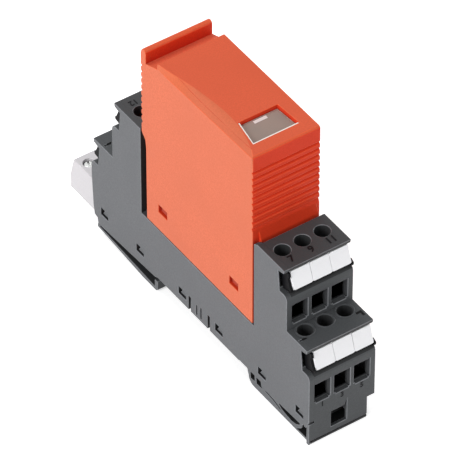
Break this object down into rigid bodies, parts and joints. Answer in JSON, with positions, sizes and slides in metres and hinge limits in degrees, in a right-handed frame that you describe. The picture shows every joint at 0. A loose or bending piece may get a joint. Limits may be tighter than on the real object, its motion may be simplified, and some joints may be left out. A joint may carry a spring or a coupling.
{
  "type": "din rail surge arrester",
  "caption": "Pluggable surge arrester for a 35 mm rail: grey stepped terminal base, orange pull-out plug, marker strips, sliding rail foot and a pull-off signal connector.",
  "frame": {"origin": "centre of the rail seat, in the middle of the width and of the 35 mm rail", "axes": "+X across the module's width, +Y from the sliding foot to the fixed hook, +Z away from the rail"},
  "size_m": [0.018, 0.0984, 0.0708],
  "materials": {
    "base_grey": "fine moulded grain",
    "plug_orange": "fine moulded grain",
    "marker_white": "smooth write-on",
    "signal_grey": "fine moulded grain",
    "zinc_plated_steel": "zinc plated",
    "plated_steel": "zinc plated",
    "tinned_copper": "tinned",
    "smoked_window": "smoked clear plastic",
    "light_guide_grey": "frosted",
    "circuit_board_green": "solder resist",
    "ceramic_white": "ceramic",
    "moulded_black": "moulded"
  },
  "bodies": {
    "base": {"base_body": "base_grey", "base_side_cover": "base_grey", "marker_strip_front_lower": "marker_white", "marker_strip_front_upper": "marker_white", "marker_strip_rear_lower": "marker_white", "marker_strip_rear_upper": "marker_white", "contact_bar_front_lower_1": "tinned_copper", "contact_bar_front_lower_2": "tinned_copper", "contact_bar_front_lower_3": "tinned_copper", "contact_bar_front_upper_1": "tinned_copper", "contact_bar_front_upper_2": "tinned_copper", "contact_bar_front_upper_3": "tinned_copper", "contact_bar_rear_lower_1": "tinned_copper", "contact_bar_rear_lower_2": "tinned_copper", "contact_bar_rear_lower_3": "tinned_copper", "contact_bar_rear_upper_1": "tinned_copper", "contact_bar_rear_upper_2": "tinned_copper", "contact_bar_rear_upper_3": "tinned_copper"},
    "foot": {"foot_latch": "base_grey"},
    "plug": {"plug_housing": "plug_orange", "plug_side_cover": "plug_orange", "status_window": "smoked_window", "status_light_guide": "light_guide_grey", "circuit_board": "circuit_board_green", "gas_discharge_tube_1": "ceramic_white", "gas_discharge_tube_2": "ceramic_white", "suppressor_diode": "moulded_black", "contact_comb_front_outer": "tinned_copper", "contact_comb_front_inner": "tinned_copper", "contact_comb_rear_outer": "tinned_copper", "contact_comb_rear_inner": "tinned_copper"},
    "signal_connector": {"signal_plug": "signal_grey"},
    "screw_front_lower_1": {"clamp_screw_front_lower_1": "zinc_plated_steel"},
    "cage_front_lower_1": {"clamp_cage_front_lower_1": "plated_steel"},
    "screw_front_lower_2": {"clamp_screw_front_lower_2": "zinc_plated_steel"},
    "cage_front_lower_2": {"clamp_cage_front_lower_2": "plated_steel"},
    "screw_front_lower_3": {"clamp_screw_front_lower_3": "zinc_plated_steel"},
    "cage_front_lower_3": {"clamp_cage_front_lower_3": "plated_steel"},
    "screw_front_upper_1": {"clamp_screw_front_upper_1": "zinc_plated_steel"},
    "cage_front_upper_1": {"clamp_cage_front_upper_1": "plated_steel"},
    "screw_front_upper_2": {"clamp_screw_front_upper_2": "zinc_plated_steel"},
    "cage_front_upper_2": {"clamp_cage_front_upper_2": "plated_steel"},
    "screw_front_upper_3": {"clamp_screw_front_upper_3": "zinc_plated_steel"},
    "cage_front_upper_3": {"clamp_cage_front_upper_3": "plated_steel"},
    "screw_rear_lower_1": {"clamp_screw_rear_lower_1": "zinc_plated_steel"},
    "cage_rear_lower_1": {"clamp_cage_rear_lower_1": "plated_steel"},
    "screw_rear_lower_2": {"clamp_screw_rear_lower_2": "zinc_plated_steel"},
    "cage_rear_lower_2": {"clamp_cage_rear_lower_2": "plated_steel"},
    "screw_rear_lower_3": {"clamp_screw_rear_lower_3": "zinc_plated_steel"},
    "cage_rear_lower_3": {"clamp_cage_rear_lower_3": "plated_steel"},
    "screw_rear_upper_1": {"clamp_screw_rear_upper_1": "zinc_plated_steel"},
    "cage_rear_upper_1": {"clamp_cage_rear_upper_1": "plated_steel"},
    "screw_rear_upper_2": {"clamp_screw_rear_upper_2": "zinc_plated_steel"},
    "cage_rear_upper_2": {"clamp_cage_rear_upper_2": "plated_steel"},
    "screw_rear_upper_3": {"clamp_screw_rear_upper_3": "zinc_plated_steel"},
    "cage_rear_upper_3": {"clamp_cage_rear_upper_3": "plated_steel"},
    "signal_screw_1": {"signal_screw_1": "zinc_plated_steel"},
    "signal_screw_2": {"signal_screw_2": "zinc_plated_steel"},
    "signal_screw_3": {"signal_screw_3": "zinc_plated_steel"}
  },
  "joints": [
    {"name": "plug_pull", "type": "slide", "parent": "base", "child": "plug", "axis": [0, 0, 1], "range_m": [0, 0.03]},
    {"name": "foot_slide", "type": "slide", "parent": "base", "child": "foot", "axis": [0, -1, 0], "range_m": [0, 0.0016], "stiffness_N_per_m": 1200, "springref_m": -0.0006},
    {"name": "signal_pull", "type": "slide", "parent": "base", "child": "signal_connector", "axis": [0, 1, 0], "range_m": [0, 0.012]},
    {"name": "clamp_front_lower_1", "type": "slide", "parent": "base", "child": "cage_front_lower_1", "axis": [0, 0, 1], "range_m": [0, 0.00167]},
    {"name": "turn_front_lower_1", "type": "hinge", "parent": "base", "child": "screw_front_lower_1", "pos_m": [-0.00535, -0.0364, 0.0239], "axis": [0, 0, 1], "range_deg": [-1200, 0]},
    {"name": "clamp_front_lower_2", "type": "slide", "parent": "base", "child": "cage_front_lower_2", "axis": [0, 0, 1], "range_m": [0, 0.00167]},
    {"name": "turn_front_lower_2", "type": "hinge", "parent": "base", "child": "screw_front_lower_2", "pos_m": [0, -0.0364, 0.0239], "axis": [0, 0, 1], "range_deg": [-1200, 0]},
    {"name": "clamp_front_lower_3", "type": "slide", "parent": "base", "child": "cage_front_lower_3", "axis": [0, 0, 1], "range_m": [0, 0.00167]},
    {"name": "turn_front_lower_3", "type": "hinge", "parent": "base", "child": "screw_front_lower_3", "pos_m": [0.00535, -0.0364, 0.0239], "axis": [0, 0, 1], "range_deg": [-1200, 0]},
    {"name": "clamp_front_upper_1", "type": "slide", "parent": "base", "child": "cage_front_upper_1", "axis": [0, 0, 1], "range_m": [0, 0.00167]},
    {"name": "turn_front_upper_1", "type": "hinge", "parent": "base", "child": "screw_front_upper_1", "pos_m": [-0.00535, -0.0275, 0.0413], "axis": [0, 0, 1], "range_deg": [-1200, 0]},
    {"name": "clamp_front_upper_2", "type": "slide", "parent": "base", "child": "cage_front_upper_2", "axis": [0, 0, 1], "range_m": [0, 0.00167]},
    {"name": "turn_front_upper_2", "type": "hinge", "parent": "base", "child": "screw_front_upper_2", "pos_m": [0, -0.0275, 0.0413], "axis": [0, 0, 1], "range_deg": [-1200, 0]},
    {"name": "clamp_front_upper_3", "type": "slide", "parent": "base", "child": "cage_front_upper_3", "axis": [0, 0, 1], "range_m": [0, 0.00167]},
    {"name": "turn_front_upper_3", "type": "hinge", "parent": "base", "child": "screw_front_upper_3", "pos_m": [0.00535, -0.0275, 0.0413], "axis": [0, 0, 1], "range_deg": [-1200, 0]},
    {"name": "clamp_rear_lower_1", "type": "slide", "parent": "base", "child": "cage_rear_lower_1", "axis": [0, 0, 1], "range_m": [0, 0.00167]},
    {"name": "turn_rear_lower_1", "type": "hinge", "parent": "base", "child": "screw_rear_lower_1", "pos_m": [-0.00535, 0.0364, 0.0239], "axis": [0, 0, 1], "range_deg": [-1200, 0]},
    {"name": "clamp_rear_lower_2", "type": "slide", "parent": "base", "child": "cage_rear_lower_2", "axis": [0, 0, 1], "range_m": [0, 0.00167]},
    {"name": "turn_rear_lower_2", "type": "hinge", "parent": "base", "child": "screw_rear_lower_2", "pos_m": [0, 0.0364, 0.0239], "axis": [0, 0, 1], "range_deg": [-1200, 0]},
    {"name": "clamp_rear_lower_3", "type": "slide", "parent": "base", "child": "cage_rear_lower_3", "axis": [0, 0, 1], "range_m": [0, 0.00167]},
    {"name": "turn_rear_lower_3", "type": "hinge", "parent": "base", "child": "screw_rear_lower_3", "pos_m": [0.00535, 0.0364, 0.0239], "axis": [0, 0, 1], "range_deg": [-1200, 0]},
    {"name": "clamp_rear_upper_1", "type": "slide", "parent": "base", "child": "cage_rear_upper_1", "axis": [0, 0, 1], "range_m": [0, 0.00167]},
    {"name": "turn_rear_upper_1", "type": "hinge", "parent": "base", "child": "screw_rear_upper_1", "pos_m": [-0.00535, 0.0275, 0.0413], "axis": [0, 0, 1], "range_deg": [-1200, 0]},
    {"name": "clamp_rear_upper_2", "type": "slide", "parent": "base", "child": "cage_rear_upper_2", "axis": [0, 0, 1], "range_m": [0, 0.00167]},
    {"name": "turn_rear_upper_2", "type": "hinge", "parent": "base", "child": "screw_rear_upper_2", "pos_m": [0, 0.0275, 0.0413], "axis": [0, 0, 1], "range_deg": [-1200, 0]},
    {"name": "clamp_rear_upper_3", "type": "slide", "parent": "base", "child": "cage_rear_upper_3", "axis": [0, 0, 1], "range_m": [0, 0.00167]},
    {"name": "turn_rear_upper_3", "type": "hinge", "parent": "base", "child": "screw_rear_upper_3", "pos_m": [0.00535, 0.0275, 0.0413], "axis": [0, 0, 1], "range_deg": [-1200, 0]},
    {"name": "signal_turn_1", "type": "hinge", "parent": "signal_connector", "child": "signal_screw_1", "pos_m": [-0.00508, 0.0504, 0.0075], "axis": [0, 0, 1], "range_deg": [-1080, 0]},
    {"name": "signal_turn_2", "type": "hinge", "parent": "signal_connector", "child": "signal_screw_2", "pos_m": [0, 0.0504, 0.0075], "axis": [0, 0, 1], "range_deg": [-1080, 0]},
    {"name": "signal_turn_3", "type": "hinge", "parent": "signal_connector", "child": "signal_screw_3", "pos_m": [0.00508, 0.0504, 0.0075], "axis": [0, 0, 1], "range_deg": [-1080, 0]}
  ],
  "couplings": [
    {"joint": "turn_front_lower_1", "follows": "clamp_front_lower_1", "rad_per_m": -12566},
    {"joint": "turn_front_lower_2", "follows": "clamp_front_lower_2", "rad_per_m": -12566},
    {"joint": "turn_front_lower_3", "follows": "clamp_front_lower_3", "rad_per_m": -12566},
    {"joint": "turn_front_upper_1", "follows": "clamp_front_upper_1", "rad_per_m": -12566},
    {"joint": "turn_front_upper_2", "follows": "clamp_front_upper_2", "rad_per_m": -12566},
    {"joint": "turn_front_upper_3", "follows": "clamp_front_upper_3", "rad_per_m": -12566},
    {"joint": "turn_rear_lower_1", "follows": "clamp_rear_lower_1", "rad_per_m": -12566},
    {"joint": "turn_rear_lower_2", "follows": "clamp_rear_lower_2", "rad_per_m": -12566},
    {"joint": "turn_rear_lower_3", "follows": "clamp_rear_lower_3", "rad_per_m": -12566},
    {"joint": "turn_rear_upper_1", "follows": "clamp_rear_upper_1", "rad_per_m": -12566},
    {"joint": "turn_rear_upper_2", "follows": "clamp_rear_upper_2", "rad_per_m": -12566},
    {"joint": "turn_rear_upper_3", "follows": "clamp_rear_upper_3", "rad_per_m": -12566}
  ]
}
